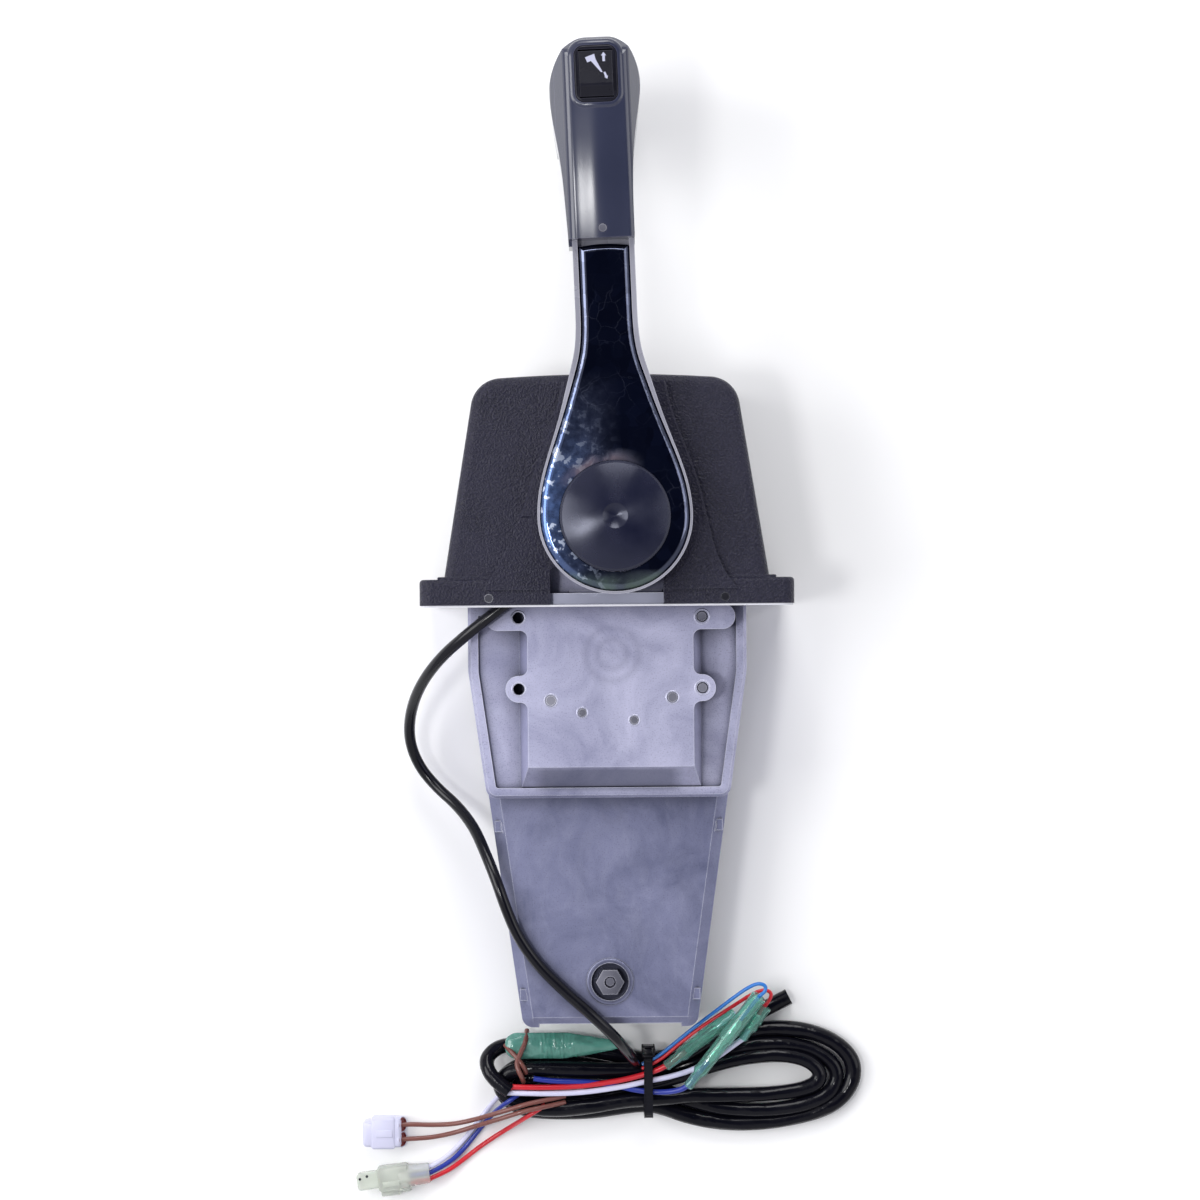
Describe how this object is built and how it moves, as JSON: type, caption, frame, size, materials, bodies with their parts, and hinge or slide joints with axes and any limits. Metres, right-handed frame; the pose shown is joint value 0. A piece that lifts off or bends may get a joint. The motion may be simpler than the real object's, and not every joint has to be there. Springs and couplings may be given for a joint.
{
  "type": "boat throttle control lever",
  "caption": "Top-mounted boat shift and throttle lever with a palm grip, trim rocker, console cover, cast gear body and wired leads.",
  "frame": {"origin": "centre of the console mounting face: middle of the four console bolt holes, on the plane that sits on the console", "axes": "+Y up from the console along the lever towards the grip (installed up), -Y into the console, +Z the lever's side of the housing and the lever's swing axis, +X to the right seen from the lever's side; stored lying on its back with -Z down, as on a bench"},
  "size_m": [0.2767, 0.619, 0.1304],
  "materials": {
    "black_cover": "fine grained black",
    "black_screw": "black oxide",
    "pale_gasket": "soft pale sheet",
    "deck_metal": "machined",
    "raw_casting": "raw die casting, blotchy",
    "zinc_steel": "zinc plated",
    "spring_steel": "bright wire",
    "gear_steel": "oiled",
    "bronze": "sintered bronze",
    "black_plastic": "satin black",
    "grey_frame": "light grey paint",
    "chrome_trim": "mirror",
    "slate_grip": "dark slate, glossy",
    "black_rubber": "black",
    "black_sheath": "glossy black vinyl",
    "tie_nylon": "black nylon",
    "brown_wire": "brown insulation",
    "blue_wire": "dark blue insulation",
    "white_wire": "white insulation",
    "red_wire": "red insulation",
    "sky_wire": "light blue insulation",
    "white_plug": "milky white nylon",
    "seal_red": "red-brown seals",
    "clear_plug": "translucent nylon",
    "green_sleeve": "translucent green"
  },
  "bodies": {
    "housing": {"cover": "black_cover", "cover_screws": "black_screw", "flange_gasket": "pale_gasket", "mounting_deck": "deck_metal", "deck_screws": "zinc_steel", "body_front_casting": "raw_casting", "body_rear_casting": "raw_casting", "case_screws": "zinc_steel", "body_studs": "zinc_steel", "dowel_pins": "zinc_steel", "clamp_bolt": "zinc_steel", "clamp_nut": "zinc_steel", "cable_clamp_plate": "zinc_steel", "neutral_switch": "black_plastic", "shaft_bushes": "bronze", "sector_pivot": "gear_steel", "detent_plunger": "spring_steel", "detent_spring": "spring_steel", "detent_plug": "zinc_steel", "friction_shoe": "bronze", "friction_screw": "zinc_steel", "cable_grommet": "black_rubber", "lead_cable": "black_sheath", "harness_hank": "black_sheath", "cable_tie": "tie_nylon", "brown_wire_a": "brown_wire", "brown_wire_b": "brown_wire", "blue_wire": "blue_wire", "white_wire": "white_wire", "red_wire": "red_wire", "red_lead": "red_wire", "white_lead": "white_wire", "blue_lead": "blue_wire", "sky_wire": "sky_wire", "fine_red_wire": "red_wire", "white_connector": "white_plug", "connector_seals": "seal_red", "clear_connector": "clear_plug", "green_sleeves": "green_sleeve", "green_tube": "green_sleeve"},
    "lever": {"lever_arm": "grey_frame", "lever_trim": "chrome_trim", "main_shaft": "gear_steel", "shaft_circlip": "spring_steel", "drive_pinion": "gear_steel", "hub_bolt": "zinc_steel", "grip_front": "slate_grip", "grip_rear": "slate_grip", "grip_screw": "zinc_steel", "switch_bezel": "black_plastic", "trim_switch": "black_plastic", "button_spring": "spring_steel"},
    "button": {"hub_button": "black_plastic"},
    "rocker": {"trim_rocker": "black_plastic"},
    "trigger": {"interlock_trigger": "black_plastic", "lock_rod": "spring_steel"},
    "shift_arm": {"shift_sector": "gear_steel", "shift_cable_pin": "gear_steel"},
    "throttle_arm": {"throttle_sector": "gear_steel", "throttle_cable_pin": "gear_steel"}
  },
  "joints": [
    {"name": "lever_swing", "type": "hinge", "parent": "housing", "child": "lever", "pos_m": [0.0045, 0.045, 0], "axis": [0, 0, 1], "range_deg": [-82, 66]},
    {"name": "hub_button_press", "type": "slide", "parent": "lever", "child": "button", "axis": [0, 0, -1], "range_m": [0, 0.003], "stiffness_N_per_m": 900, "deforming": ["button_spring"]},
    {"name": "trim_rock", "type": "hinge", "parent": "lever", "child": "rocker", "pos_m": [-0.00332, 0.26886, 0.0745], "axis": [0.9994, 0.0349, 0], "range_deg": [-7, 7], "stiffness_Nm_per_rad": 0.08},
    {"name": "interlock_pull", "type": "slide", "parent": "lever", "child": "trigger", "axis": [-0.0349, 0.9994, 0], "range_m": [0, 0.006], "stiffness_N_per_m": 600},
    {"name": "shift_arm_swing", "type": "hinge", "parent": "housing", "child": "shift_arm", "pos_m": [0.0045, -0.006, 0], "axis": [0, 0, 1], "range_deg": [-34, 42]},
    {"name": "throttle_arm_swing", "type": "hinge", "parent": "housing", "child": "throttle_arm", "pos_m": [0.0045, -0.006, 0], "axis": [0, 0, 1], "range_deg": [-34, 42]}
  ],
  "couplings": [
    {"joint": "shift_arm_swing", "follows": "lever_swing", "ratio": -0.5},
    {"joint": "throttle_arm_swing", "follows": "lever_swing", "ratio": -0.5}
  ]
}
